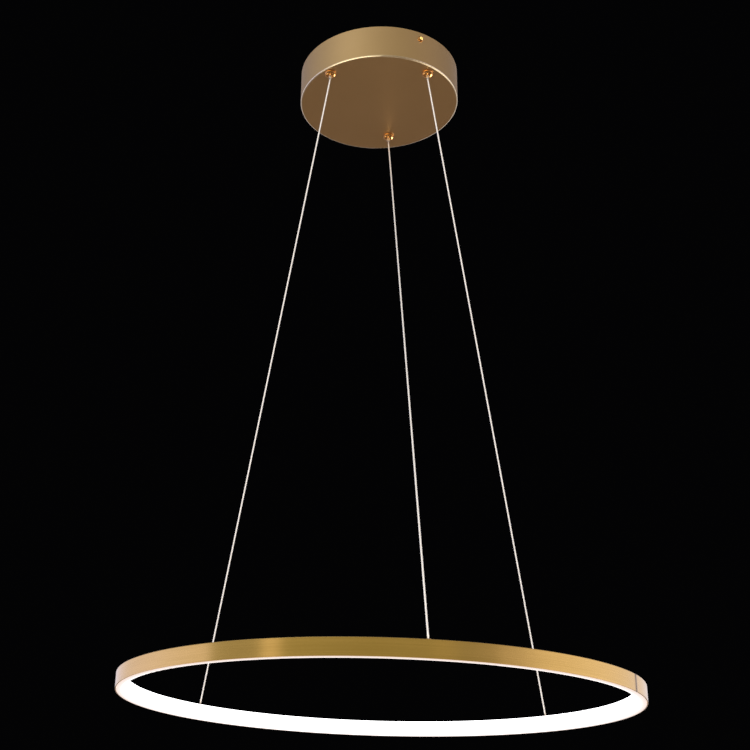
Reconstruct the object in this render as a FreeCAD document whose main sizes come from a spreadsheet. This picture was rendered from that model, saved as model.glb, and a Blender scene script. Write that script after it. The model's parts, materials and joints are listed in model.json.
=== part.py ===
import FreeCAD, Part
import math
import os
import Sketcher
from FreeCAD import Vector, Rotation, Placement

# LED ring chandelier: a round ceiling canopy with three cable grips, three
# slanting suspension cables and a slim light ring. Millimetres, +Z up.
# The origin is the centre of the canopy's ceiling plane; all hangs below it.

doc = FreeCAD.newDocument("led_ring_chandelier")

# ---------------------------------------------------------------- sheet
DIMS = [
    # canopy cup
    ("canopy_radius", 110.0, "outside radius of the cup"),
    ("canopy_height", 49.0, "ceiling plane to underside"),
    ("canopy_wall", 1.2, "sheet thickness"),
    ("canopy_edge", 2.0, "rounding of the lower edge"),
    ("grip_hole_radius", 5.1, "holes for the grip barrels"),
    ("side_hole_radius", 2.25, "holes for the side screws"),
    ("side_screw_drop", 11.0, "side screw axis below the ceiling plane"),
    ("side_screw_angle", -61.0, "degrees about Z; the bracket lies along it"),
    # grip positions on the cup's floor
    ("grip_left_x", -67.5, "left grip"),
    ("grip_right_x", 63.7, "right grip"),
    ("grip_side_y", -73.0, "left and right grips"),
    ("grip_rear_x", 16.3, "rear grip"),
    ("grip_rear_y", 77.0, "rear grip"),
    # bracket
    ("bar_reach", 107.6, "outer face of the folded ends"),
    ("bar_width", 25.0, "strap width"),
    ("bar_thickness", 2.0, "strap thickness"),
    ("bar_tab_depth", 19.0, "folded ends, below the ceiling plane"),
    ("ceiling_hole_radius", 2.6, "holes for the ceiling screws"),
    ("ceiling_hole_pcd", 140.0, "spacing of the ceiling holes"),
    ("screw_hole_radius", 2.0, "M4 holes in the bracket"),
    ("earth_tab_u", -65.0, "earth tab, along the bar"),
    ("earth_tab_reach", 26.0, "earth tab, across the bar"),
    ("earth_tab_width", 14.0, "earth tab width"),
    ("earth_hole_v", 20.0, "earth screw, across the bar"),
    # driver
    ("driver_length", 104.0, "case length"),
    ("driver_width", 40.0, "case width"),
    ("driver_depth", 22.0, "case depth below its lid"),
    ("driver_lid", 2.0, "lid thickness"),
    ("driver_ears", 120.0, "lid length over its ears"),
    ("driver_ear_width", 16.0, "ear width"),
    ("driver_screw_u", 56.0, "screw positions along the bar"),
    ("driver_wall", 1.5, "case wall"),
    ("board_thickness", 1.6, "circuit board"),
    # terminal block
    ("terminal_u", -90.0, "centre along the bar"),
    ("terminal_length", 24.0, "size along the bar"),
    ("terminal_width", 27.0, "size across the bar"),
    ("terminal_height", 15.0, "size down"),
    ("terminal_wire_radius", 1.8, "wire ways"),
    ("terminal_pitch", 8.0, "pole spacing"),
    # screws
    ("mfour_radius", 1.95, "M4 shank"),
    ("side_head_radius", 3.9, "side screw head"),
    ("side_head_height", 2.8, "side screw head"),
    ("pan_head_radius", 3.8, "M4 pan head"),
    ("pan_head_height", 2.4, "M4 pan head"),
    # cable grips, heights from the cup's underside, upward
    ("grip_dome_radius", 7.6, "dome outside the cup"),
    ("grip_dome_height", 3.8, "dome outside the cup"),
    ("grip_dome_round", 3.3, "rounding of the dome"),
    ("grip_barrel_radius", 4.9, "threaded barrel"),
    ("grip_barrel_height", 22.0, "top of the barrel"),
    ("grip_bore_radius", 2.25, "bore for the plunger"),
    ("grip_cone_low", 2.65, "cone radius at its foot"),
    ("grip_cone_high", 4.0, "cone radius at its top, and chamber radius"),
    ("grip_cone_foot", 1.0, "height of the cone's foot"),
    ("grip_cone_top", 9.0, "height of the cone's top"),
    ("grip_cap_depth", 2.0, "plug part of the end cap"),
    ("grip_cap_flange", 2.0, "flange of the end cap"),
    ("grip_cap_bore", 1.45, "cable way through the end cap"),
    ("grip_nut_flats", 13.0, "lock nut across flats"),
    ("grip_nut_height", 4.0, "lock nut"),
    ("grip_washer_radius", 7.8, "washer under the lock nut"),
    ("grip_washer_height", 1.0, "washer under the lock nut"),
    # release plunger
    ("plunger_radius", 2.17, "nozzle"),
    ("plunger_nose", 8.5, "nozzle tip below the cup's underside"),
    ("plunger_bore", 1.42, "cable way"),
    ("plunger_cage_radius", 2.5, "ball cage"),
    ("plunger_cage_top", 6.0, "height of the cage's top"),
    ("plunger_flange_radius", 3.0, "spring seat"),
    ("plunger_flange_top", 7.0, "height of the spring seat"),
    ("plunger_travel", 2.5, "release stroke"),
    ("ball_radius", 1.0, "locking balls"),
    ("ball_offset", 2.0, "ball centre from the cable axis"),
    ("ball_height", 3.99, "ball centre above the cup's underside"),
    ("ball_window", 1.08, "windows in the cage"),
    ("spring_radius", 2.45, "mean coil radius"),
    ("spring_wire", 0.25, "wire radius"),
    ("spring_pitch", 2.4, "coil pitch"),
    # cables
    ("cable_radius", 0.95, "suspension cable"),
    ("tail_bend", 9.0, "bend radius of the cable tails"),
    ("tail_run", 12.0, "level run of the cable tails"),
    ("lead_radius", 1.1, "leads inside the canopy"),
    # ring, heights above the ring's lowest plane
    ("ring_drop", 825.3, "canopy underside to the ring's lowest plane"),
    ("ring_radius", 300.0, "outside of the channel"),
    ("ring_inner", 289.0, "inside of the diffuser"),
    ("ring_height", 18.4, "whole section height"),
    ("channel_foot", 0.5, "lower edge of the gold channel"),
    ("channel_wall", 1.2, "channel sheet"),
    ("channel_lip", 290.6, "inner edge of the channel's top"),
    ("channel_round", 0.5, "rounding of the channel's top edge"),
    ("diffuser_wall", 1.5, "diffuser wall"),
    ("diffuser_floor", 1.7, "diffuser floor"),
    ("diffuser_round", 3.5, "rounding of the diffuser's lower inner edge"),
    ("diffuser_hollow", 2.0, "the same rounding on the hidden side"),
    ("diffuser_edge", 298.5, "outer edge of the diffuser, inside the channel wall"),
    ("diffuser_rib_inner", 297.2, "inner face of the rib along that edge"),
    ("diffuser_rib_top", 4.0, "top of the rib"),
    ("seam_angle", -28.5, "first seam, degrees about Z"),
    ("seam_gap", 1.0, "gap in the channel at each seam"),
    ("diffuser_gap", 0.15, "gap in the diffuser at each seam"),
    ("splice_span", 8.0, "splice plate across a seam, degrees"),
    ("splice_leg_inner", 298.0, "splice plate's leg behind the channel wall"),
    ("splice_leg_outer", 298.5, "splice plate's leg behind the channel wall"),
    ("splice_leg_low", 4.6, "lower edge of the splice plate's leg"),
    ("strip_face", 297.85, "inner face of the LED strip"),
    ("strip_back", 298.6, "outer face of the LED strip"),
    ("strip_low", 6.0, "lower edge of the LED strip"),
    ("strip_high", 14.0, "upper edge of the LED strip"),
    ("strip_margin", 4.4, "degrees kept clear at each seam"),
    ("chip_size", 2.8, "LED chip along the strip"),
    ("chip_tall", 3.5, "LED chip height"),
    ("chip_thick", 0.8, "LED chip thickness"),
    ("chip_step", 5.0, "degrees between chips"),
    # cable sockets on the ring, heights from the ring's top face
    ("anchor_radius_on_ring", 294.5, "circle of the cable sockets"),
    ("anchor_near_angle", -82.0, "degrees about Z"),
    ("anchor_right_angle", 41.0, "degrees about Z"),
    ("anchor_left_angle", 139.9, "degrees about Z"),
    ("anchor_radius", 3.5, "socket flange"),
    ("anchor_height", 0.8, "socket flange above the ring"),
    ("anchor_bore", 1.35, "cable way"),
    ("anchor_stem_radius", 2.4, "stem through the channel's top"),
    ("anchor_stem_depth", 3.8, "stem below the ring's top face"),
    ("anchor_nut_radius", 3.7, "round nut"),
    ("anchor_nut_height", 2.4, "round nut"),
    ("ferrule_radius", 1.9, "crimped ferrule"),
    ("ferrule_length", 5.0, "crimped ferrule"),
]

sheet = doc.addObject("Spreadsheet::Sheet", "dims")
VAL = {}
for row, (alias, value, note) in enumerate(DIMS, start=1):
    sheet.set("A%d" % row, alias)
    sheet.set("B%d" % row, "%g" % value)
    sheet.set("C%d" % row, note)
    sheet.setAlias("B%d" % row, alias)
    VAL[alias] = value
doc.recompute()


class Dim:
    """A number together with the expression that gives it from the sheet."""

    def __init__(self, value, text=None):
        self.v = float(value)
        self.s = text if text is not None else repr(float(value))

    @staticmethod
    def of(x):
        return x if isinstance(x, Dim) else Dim(x)

    def __add__(self, o):
        o = Dim.of(o)
        return Dim(self.v + o.v, "(%s + %s)" % (self.s, o.s))

    def __radd__(self, o):
        return Dim.of(o) + self

    def __sub__(self, o):
        o = Dim.of(o)
        return Dim(self.v - o.v, "(%s - %s)" % (self.s, o.s))

    def __rsub__(self, o):
        return Dim.of(o) - self

    def __mul__(self, o):
        o = Dim.of(o)
        return Dim(self.v * o.v, "(%s * %s)" % (self.s, o.s))

    def __rmul__(self, o):
        return Dim.of(o) * self

    def __truediv__(self, o):
        o = Dim.of(o)
        return Dim(self.v / o.v, "(%s / %s)" % (self.s, o.s))

    def __neg__(self):
        return Dim(-self.v, "(0 - %s)" % self.s)


def d(alias):
    return Dim(VAL[alias], "dims." + alias)


NODES = []          # (object, node name)


def node(obj, name):
    obj.Label = name
    NODES.append(obj)
    return obj


def place(obj, x=0.0, y=0.0, z=0.0, turn=None):
    """Binds an object's place to the sheet. turn is degrees about Z."""
    for axis, value in (("x", x), ("y", y), ("z", z)):
        value = Dim.of(value)
        if value.v != 0.0 or value.s.find("dims.") >= 0:
            obj.setExpression("Placement.Base." + axis, value.s)
    if turn is not None:
        turn = Dim.of(turn)
        obj.Placement.Rotation = Rotation(Vector(0, 0, 1), turn.v)
        obj.setExpression("Placement.Rotation.Angle", turn.s + " * 1 deg")


# ------------------------------------------------------------- features
def body(compound=False):
    b = doc.addObject("PartDesign::Body", "Body")
    if compound:
        b.AllowCompound = True
    return b


def plane(b, role):
    return [o for o in b.Origin.OriginFeatures if o.Role == role][0]


def axis(b, role):
    return (plane(b, role), [""])


def sketch(b, role):
    sk = b.newObject("Sketcher::SketchObject", "Sketch")
    sk.AttachmentSupport = [(plane(b, role), "")]
    sk.MapMode = "FlatFace"
    return sk


def pin_point(sk, geo, pos, x, y):
    """Fixes a point of the sketch at x, y, each bound to the sheet."""
    for kind, value in (("DistanceX", Dim.of(x)), ("DistanceY", Dim.of(y))):
        i = sk.addConstraint(Sketcher.Constraint(kind, -1, 1, geo, pos, value.v))
        if value.s.find("dims.") >= 0:
            sk.setExpression("Constraints[%d]" % i, value.s)


def polygon(sk, points):
    """A closed outline whose corners are all bound to the sheet."""
    points = [(Dim.of(x), Dim.of(y)) for x, y in points]
    n = len(points)
    first = sk.GeometryCount
    for i in range(n):
        a, b = points[i], points[(i + 1) % n]
        sk.addGeometry(Part.LineSegment(Vector(a[0].v, a[1].v, 0),
                                        Vector(b[0].v, b[1].v, 0)), False)
    for i in range(n):
        sk.addConstraint(Sketcher.Constraint("Coincident", first + i, 2,
                                             first + (i + 1) % n, 1))
    for i in range(n):
        pin_point(sk, first + i, 1, points[i][0], points[i][1])
    return sk


def circle(sk, x, y, r):
    x, y, r = Dim.of(x), Dim.of(y), Dim.of(r)
    g = sk.addGeometry(Part.Circle(Vector(x.v, y.v, 0), Vector(0, 0, 1), r.v), False)
    pin_point(sk, g, 3, x, y)
    i = sk.addConstraint(Sketcher.Constraint("Radius", g, r.v))
    sk.setExpression("Constraints[%d]" % i, r.s)
    return sk


def rectangle(sk, x0, y0, x1, y1):
    return polygon(sk, [(x0, y0), (x1, y0), (x1, y1), (x0, y1)])


def bind(obj, prop, value):
    value = Dim.of(value)
    setattr(obj, prop, value.v)
    obj.setExpression(prop, value.s)


def pad(b, sk, length, reverse=False, both=False):
    f = b.newObject("PartDesign::Pad", "Pad")
    f.Profile = sk
    bind(f, "Length", length)
    f.Reversed = reverse
    if both:
        f.SideType = "Symmetric"
    return finish(b, f)


def pocket(b, sk, length=None, reverse=False, both=False):
    before = solid_volume(b)
    f = b.newObject("PartDesign::Pocket", "Pocket")
    f.Profile = sk
    if length is None:
        f.Type = "ThroughAll"
    else:
        bind(f, "Length", length)
    f.Reversed = reverse
    if both:
        f.SideType = "Symmetric"
    finish(b, f)
    if not solid_volume(b) < before - 1e-6:
        raise RuntimeError("pocket cuts nothing in %s" % b.Label)
    return f


def revolve(b, sk, angle=360.0, around="V_Axis"):
    f = b.newObject("PartDesign::Revolution", "Revolution")
    f.Profile = sk
    f.ReferenceAxis = (sk, [around])
    bind(f, "Angle", angle)
    return finish(b, f)


def finish(b, f):
    b.Tip = f
    doc.recompute()
    return f


def solid_volume(b):
    return b.Shape.Volume if not b.Shape.isNull() else 0.0


def edges_where(shape, test):
    return ["Edge%d" % (i + 1) for i, e in enumerate(shape.Edges) if test(e)]


def soften(b, kind, size, test):
    """A fillet or chamfer on the tip's edges that the test picks."""
    tip = b.Tip
    names = edges_where(tip.Shape, test)
    if not names:
        raise RuntimeError("no edge found in %s" % b.Label)
    f = b.newObject("PartDesign::" + kind, kind)
    f.Base = (tip, names)
    bind(f, "Radius" if kind == "Fillet" else "Size", size)
    return finish(b, f)


def ring_edge(radius, z, tol=1e-3):
    """Picks circular edges of a radius at a height, both in body axes."""
    def test(e):
        c = e.Curve
        return (isinstance(c, Part.Circle) and abs(c.Radius - radius) < tol
                and abs(c.Center.z - z) < tol and abs(abs(c.Axis.z) - 1) < 1e-6)
    return test


def polar(b, feature, count, angle=360.0):
    f = b.newObject("PartDesign::PolarPattern", "PolarPattern")
    f.Originals = [feature]
    f.Axis = (plane(b, "Z_Axis"), [""])
    f.Angle = angle
    f.Occurrences = count
    return finish(b, f)


def group(name, parts):
    """Identical pieces as one node: a compound of separate solids."""
    c = doc.addObject("Part::Compound", "Group")
    c.Links = parts
    doc.recompute()
    return node(c, name)


def shape_node(name, shape, placement=None):
    f = doc.addObject("Part::Feature", "Shape")
    f.Shape = shape
    f.Placement = placement or Placement()
    return node(f, name)


def tube(points, radius, bends=None):
    """A round lead along straight runs joined by tangent arcs."""
    pts = [Vector(*p) for p in points]
    edges, at, radii = [], pts[0], []
    for i in range(1, len(pts) - 1):
        a, p, c = pts[i - 1], pts[i], pts[i + 1]
        u, w = (p - a), (c - p)
        run = min(u.Length, w.Length)
        u.normalize()
        w.normalize()
        turn = u.getAngle(w)
        r = 0.45 * run / math.tan(turn / 2.0)
        back = r * math.tan(turn / 2.0)
        s, e = p - u * back, p + w * back
        bis = (w - u)
        bis.normalize()
        mid = p + bis * (r / math.cos(turn / 2.0) - r)
        edges.append(Part.LineSegment(at, s).toShape())
        edges.append(Part.Arc(s, mid, e).toShape())
        at = e
        radii.append(r)
    edges.append(Part.LineSegment(at, pts[-1]).toShape())
    wire = Part.Wire(edges)
    start = wire.Edges[0]
    normal = (pts[1] - pts[0])
    normal.normalize()
    face = Part.Wire([Part.makeCircle(radius, pts[0], normal)])
    solid = wire.makePipeShell([face], True, True)
    want = math.pi * radius ** 2 * wire.Length
    if abs(solid.Volume - want) > 0.02 * want:
        raise RuntimeError("tube volume is off")
    if radii:
        print("   tube radii mm:", ["%.1f" % r for r in radii], "length %.1f" % wire.Length)
    return solid


# ----------------------------------------------------------- positions
UNDER = -d("canopy_height")                    # the cup's underside
RING_FOOT = UNDER - d("ring_drop")             # the ring's lowest plane
RING_TOP = RING_FOOT + d("ring_height")
BAR = d("side_screw_angle")
GRIPS = {
    "left": (d("grip_left_x"), d("grip_side_y")),
    "right": (d("grip_right_x"), d("grip_side_y")),
    "middle": (d("grip_rear_x"), d("grip_rear_y")),
}
ANCHORS = {"left": "anchor_left_angle", "right": "anchor_right_angle",
           "middle": "anchor_near_angle"}


def along_bar(u, v, z):
    """A point given along and across the bracket, in the model's axes."""
    a = math.radians(VAL["side_screw_angle"])
    return (u * math.cos(a) - v * math.sin(a), u * math.sin(a) + v * math.cos(a), z)


# ---------------------------------------------------------- canopy cup
def make_canopy_cup():
    b = body()
    r, wall, h = d("canopy_radius"), d("canopy_wall"), d("canopy_height")
    sk = polygon(sketch(b, "XZ_Plane"), [
        (0, -h), (r, -h), (r, 0), (r - wall, 0), (r - wall, wall - h), (0, wall - h)])
    revolve(b, sk)
    soften(b, "Fillet", d("canopy_edge"), ring_edge(VAL["canopy_radius"], -VAL["canopy_height"]))
    soften(b, "Fillet", d("canopy_edge") - wall,
           ring_edge(VAL["canopy_radius"] - VAL["canopy_wall"],
                     VAL["canopy_wall"] - VAL["canopy_height"]))
    soften(b, "Chamfer", 0.3, ring_edge(VAL["canopy_radius"], 0.0))
    sk = sketch(b, "XY_Plane")
    for x, y in GRIPS.values():
        circle(sk, x, y, d("grip_hole_radius"))
    pocket(b, sk, h + 5, reverse=False)
    return b


cup = make_canopy_cup()
# side screw holes: a round tool across the whole cup, along the bracket
cup_tool = doc.addObject("Part::Cylinder", "SideHoles")
bind(cup_tool, "Radius", d("side_hole_radius"))
bind(cup_tool, "Height", 2 * d("canopy_radius") + 20)
cup_tool.Placement = Placement(
    Vector(*along_bar(-(VAL["canopy_radius"] + 10), 0, -VAL["side_screw_drop"])),
    Rotation(Vector(0, 0, 1), VAL["side_screw_angle"]).multiply(Rotation(Vector(0, 1, 0), 90)))
cup_tool.setExpression("Placement.Base.x",
                       "(0 - (dims.canopy_radius + 10)) * cos(dims.side_screw_angle * 1 deg)")
cup_tool.setExpression("Placement.Base.y",
                       "(0 - (dims.canopy_radius + 10)) * sin(dims.side_screw_angle * 1 deg)")
cup_tool.setExpression("Placement.Base.z", "0 - dims.side_screw_drop")
cup_cut = doc.addObject("Part::Cut", "CanopyCut")
cup_cut.Base = cup
cup_cut.Tool = cup_tool
doc.recompute()
node(cup_cut, "canopy_cup")


# ------------------------------------------------------ ceiling bracket
def make_bracket():
    b = body()
    reach, t = d("bar_reach"), d("bar_thickness")
    deep, w = d("bar_tab_depth"), d("bar_width")
    sk = polygon(sketch(b, "XZ_Plane"), [
        (-reach, -deep), (t - reach, -deep), (t - reach, -t), (reach - t, -t),
        (reach - t, -deep), (reach, -deep), (reach, 0), (-reach, 0)])
    pad(b, sk, w, both=True)
    # folds
    v = VAL
    soften(b, "Fillet", 3.0, lambda e: isinstance(e.Curve, Part.Line)
           and abs(abs(e.CenterOfMass.x) - v["bar_reach"]) < 1e-3
           and abs(e.CenterOfMass.z) < 1e-3 and e.Length > 20)
    soften(b, "Fillet", 1.0, lambda e: isinstance(e.Curve, Part.Line)
           and abs(abs(e.CenterOfMass.x) - (v["bar_reach"] - v["bar_thickness"])) < 1e-3
           and abs(e.CenterOfMass.z + v["bar_thickness"]) < 1e-3 and e.Length > 20)
    # rounded corners of the folded ends
    soften(b, "Fillet", 5.0, lambda e: isinstance(e.Curve, Part.Line)
           and abs(e.CenterOfMass.z + v["bar_tab_depth"]) < 1e-3
           and abs(abs(e.CenterOfMass.y) - v["bar_width"] / 2) < 1e-3 and e.Length < 3)
    # earth tab
    u, half = d("earth_tab_u"), d("earth_tab_width") / 2
    sk = rectangle(sketch(b, "XY_Plane"), u - half, w / 2 - 1, u + half, d("earth_tab_reach"))
    pad(b, sk, t, reverse=True)
    # ceiling holes, driver holes, terminal hole, earth hole
    sk = sketch(b, "XY_Plane")
    for s in (1, -1):
        circle(sk, s * d("ceiling_hole_pcd") / 2, 0, d("ceiling_hole_radius"))
        circle(sk, s * d("driver_screw_u"), 0, d("screw_hole_radius"))
    circle(sk, d("terminal_u"), 4, 1.6)
    circle(sk, u, d("earth_hole_v"), d("screw_hole_radius"))
    pocket(b, sk, both=True)
    # holes for the side screws, through both folded ends
    sk = circle(sketch(b, "YZ_Plane"), 0, -d("side_screw_drop"), d("screw_hole_radius"))
    pocket(b, sk, both=True)
    place(b, turn=BAR)
    return node(b, "ceiling_bracket")


make_bracket()


# --------------------------------------------------------------- screws
def screw(length, head_radius, head_height, shank_radius, domed=False, slot=True):
    """A screw whose head's seat is at z = 0, head up, shank down."""
    b = body()
    hr, hh, sr, ln = Dim.of(head_radius), Dim.of(head_height), Dim.of(shank_radius), Dim.of(length)
    sk = polygon(sketch(b, "XZ_Plane"), [
        (0, -ln), (sr - 0.4, -ln), (sr, 0.4 - ln), (sr, 0), (hr, 0), (hr, hh), (0, hh)])
    revolve(b, sk)
    soften(b, "Fillet", hh * (0.93 if domed else 0.4), ring_edge(hr.v, hh.v))
    if slot:
        # cross recess: two crossed slots
        sk = sketch(b, "XY_Plane")
        sk.AttachmentOffset = Placement(Vector(0, 0, hh.v * 0.55), Rotation())
        arm = hr * 0.5
        rectangle(sk, -arm, -0.4, arm, 0.4)
        pocket(b, sk, hh, reverse=True)
        sk = sketch(b, "XY_Plane")
        sk.AttachmentOffset = Placement(Vector(0, 0, hh.v * 0.55), Rotation())
        rectangle(sk, -0.4, -arm, 0.4, arm)
        pocket(b, sk, hh, reverse=True)
    return b


def make_side_screws():
    out = []
    for s in (1, -1):
        b = screw(6.5, d("side_head_radius"), d("side_head_height"), d("mfour_radius"), domed=True)
        a = VAL["side_screw_angle"] + (0 if s > 0 else 180)
        b.Placement = Placement(
            Vector(*along_bar(s * (VAL["canopy_radius"] + 0.02), 0, -VAL["side_screw_drop"])),
            Rotation(Vector(0, 0, 1), a).multiply(Rotation(Vector(0, 1, 0), 90)))
        k = "1" if s > 0 else "(0 - 1)"
        b.setExpression("Placement.Base.x", k + " * (dims.canopy_radius + 0.02) * cos(dims.side_screw_angle * 1 deg)")
        b.setExpression("Placement.Base.y", k + " * (dims.canopy_radius + 0.02) * sin(dims.side_screw_angle * 1 deg)")
        b.setExpression("Placement.Base.z", "0 - dims.side_screw_drop")
        out.append(b)
    group("canopy_side_screws", out)


make_side_screws()


def down_screw(u, v, seat, length, head_radius, head_height, shank):
    """A screw with its head below, at a place along and across the bar."""
    b = screw(length, head_radius, head_height, shank)
    b.Placement = Placement(Vector(*along_bar(u, v, seat)),
                            Rotation(Vector(0, 0, 1), VAL["side_screw_angle"])
                            .multiply(Rotation(Vector(1, 0, 0), 180)))
    return b


# --------------------------------------------------------------- driver
LID_TOP = -(d("bar_thickness") + 0.05)
LID_LOW = LID_TOP - d("driver_lid")
CASE_LOW = LID_LOW - 0.05 - d("driver_depth")
LEAD_Z1, LEAD_Z2 = -16.0, -20.5      # heights of the lead entries in the case


def make_driver():
    # lid with screw ears
    b = body()
    half, w = d("driver_length") / 2, d("driver_width") / 2
    ear, ew = d("driver_ears") / 2, d("driver_ear_width") / 2
    sk = polygon(sketch(b, "XY_Plane"), [
        (-half, -w), (half, -w), (half, -ew), (ear, -ew), (ear, ew), (half, ew),
        (half, w), (-half, w), (-half, ew), (-ear, ew), (-ear, -ew), (-half, -ew)])
    pad(b, sk, d("driver_lid"), reverse=True)
    soften(b, "Fillet", 3.0, lambda e: isinstance(e.Curve, Part.Line)
           and abs(e.tangentAt(e.FirstParameter).z) > 0.9
           and abs(abs(e.CenterOfMass.x) - VAL["driver_ears"] / 2) < 1e-3)
    soften(b, "Fillet", 2.0, lambda e: isinstance(e.Curve, Part.Line)
           and abs(e.tangentAt(e.FirstParameter).z) > 0.9
           and abs(abs(e.CenterOfMass.y) - VAL["driver_width"] / 2) < 1e-3)
    sk = sketch(b, "XY_Plane")
    for s in (1, -1):
        circle(sk, s * d("driver_screw_u"), 0, 2.1)
    pocket(b, sk, both=True)
    place(b, z=LID_TOP, turn=BAR)
    node(b, "driver_lid")
    # case, open upward
    b = body()
    t = d("driver_wall")
    sk = rectangle(sketch(b, "XY_Plane"), -half, -w, half, w)
    pad(b, sk, d("driver_depth"))
    soften(b, "Fillet", 2.0, lambda e: isinstance(e.Curve, Part.Line)
           and abs(e.tangentAt(e.FirstParameter).z) > 0.9)
    sk = sketch(b, "XY_Plane")
    sk.AttachmentOffset = Placement(Vector(0, 0, VAL["driver_wall"]), Rotation())
    rectangle(sk, t - half, t - w, half - t, w - t)
    pocket(b, sk, d("driver_depth"), reverse=True)
    low = CASE_LOW.v
    sk = sketch(b, "YZ_Plane")
    for v, z in ((-5.0, LEAD_Z1), (5.0, LEAD_Z2)):
        circle(sk, v, z - low, d("lead_radius") + 0.15)
    pocket(b, sk, both=True)
    soften(b, "Fillet", 1.0, lambda e: abs(e.CenterOfMass.z) < 1e-3 and e.Length > 30
           and (abs(abs(e.CenterOfMass.x) - VAL["driver_length"] / 2) < 1e-3
                or abs(abs(e.CenterOfMass.y) - VAL["driver_width"] / 2) < 1e-3))
    place(b, z=CASE_LOW, turn=BAR)
    node(b, "driver_case")
    # board
    b = body()
    top = CASE_LOW + t + 3.0
    sk = rectangle(sketch(b, "XY_Plane"), t - half + 1.5, t - w + 0.6, half - t - 1.5, w - t - 0.6)
    pad(b, sk, d("board_thickness"))
    place(b, z=top, turn=BAR)
    node(b, "driver_board")
    # components on the board: transformer with its winding, capacitors, coil
    z0 = top.v + VAL["board_thickness"] + 0.05
    parts = []

    def put(shape, u, v):
        o = doc.addObject("Part::Feature", "Component")
        o.Shape = shape
        o.Placement = Placement(Vector(*along_bar(u, v, z0)),
                                Rotation(Vector(0, 0, 1), VAL["side_screw_angle"]))
        parts.append(o)

    core = Part.makeBox(20, 22, 13, Vector(-10, -11, 0))
    core = core.cut(Part.makeBox(22, 14, 7, Vector(-11, -7, 3)))
    winding = Part.makeBox(16, 13, 6.4, Vector(-8, -6.5, 3.3))
    winding = winding.makeFillet(2.0, [e for e in winding.Edges if abs(e.tangentAt(e.FirstParameter).z) > 0.9])
    put(core, 6, 0)
    put(winding, 6, 0)
    can = Part.makeCylinder(5.0, 13.0)
    can = can.makeFillet(0.8, [e for e in can.Edges if abs(e.CenterOfMass.z - 13) < 1e-6 and e.Closed])
    put(can, 32, -8)
    small = Part.makeCylinder(4.0, 11.0)
    small = small.makeFillet(0.8, [e for e in small.Edges if abs(e.CenterOfMass.z - 11) < 1e-6 and e.Closed])
    put(small, 34, 8)
    put(can, -32, -8)
    coil = Part.makeTorus(4.5, 2.2, Vector(0, 0, 2.25))
    put(coil, -18, 8)
    put(Part.makeBox(10, 4, 8, Vector(-5, -2, 0)), -34, 9)
    group("driver_components", parts)
    # screws through the ears
    group("driver_screws", [down_screw(s * VAL["driver_screw_u"], 0, LID_LOW.v - 0.02, 3.9,
                                       d("pan_head_radius"), d("pan_head_height"), d("mfour_radius"))
                            for s in (1, -1)])


make_driver()


# ------------------------------------------------------- terminal block
def make_terminal():
    b = body()
    ln, w, hgt = d("terminal_length") / 2, d("terminal_width") / 2, d("terminal_height")
    sk = rectangle(sketch(b, "XY_Plane"), -ln, -w, ln, w)
    pad(b, sk, hgt, reverse=True)
    soften(b, "Fillet", 1.0, lambda e: isinstance(e.Curve, Part.Line)
           and abs(e.tangentAt(e.FirstParameter).z) > 0.9)
    soften(b, "Chamfer", 0.6, lambda e: abs(e.CenterOfMass.z + VAL["terminal_height"]) < 1e-3)
    sk = sketch(b, "YZ_Plane")
    for k in (-1, 0, 1):
        circle(sk, k * d("terminal_pitch"), -9.0, d("terminal_wire_radius"))
    pocket(b, sk, both=True)
    sk = sketch(b, "XY_Plane")
    sk.AttachmentOffset = Placement(Vector(0, 0, -9.0), Rotation())
    for k in (-1, 0, 1):
        for s in (1, -1):
            circle(sk, s * 6.5, k * d("terminal_pitch"), 1.95)
    pocket(b, sk, hgt, reverse=False)
    sk = circle(sketch(b, "XY_Plane"), 0, 4, 1.6)
    pocket(b, sk, both=True)
    a = math.radians(VAL["side_screw_angle"])
    b.Placement = Placement(Vector(*along_bar(VAL["terminal_u"], 0, LID_TOP.v)),
                            Rotation(Vector(0, 0, 1), VAL["side_screw_angle"]))
    b.setExpression("Placement.Base.x", "dims.terminal_u * cos(dims.side_screw_angle * 1 deg)")
    b.setExpression("Placement.Base.y", "dims.terminal_u * sin(dims.side_screw_angle * 1 deg)")
    node(b, "terminal_block")
    screws = []
    for k in (-1, 0, 1):
        for s in (1, -1):
            g = body()
            sk = circle(sketch(g, "XY_Plane"), 0, 0, 1.85)
            pad(g, sk, 3.2)
            sk = rectangle(sketch(g, "XY_Plane"), -1.9, -0.35, 1.9, 0.35)
            pocket(g, sk, 0.8, reverse=True)
            g.Placement = Placement(
                Vector(*along_bar(VAL["terminal_u"] + s * 6.5, k * VAL["terminal_pitch"],
                                  LID_TOP.v - VAL["terminal_height"] + 0.6)),
                Rotation(Vector(0, 0, 1), VAL["side_screw_angle"]))
            screws.append(g)
    group("terminal_clamp_screws", screws)
    f = down_screw(VAL["terminal_u"], 4, LID_TOP.v - VAL["terminal_height"] - 0.02, 16.6, 2.2, 1.5, 1.45)
    node(f, "terminal_fixing_screw")


make_terminal()


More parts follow.
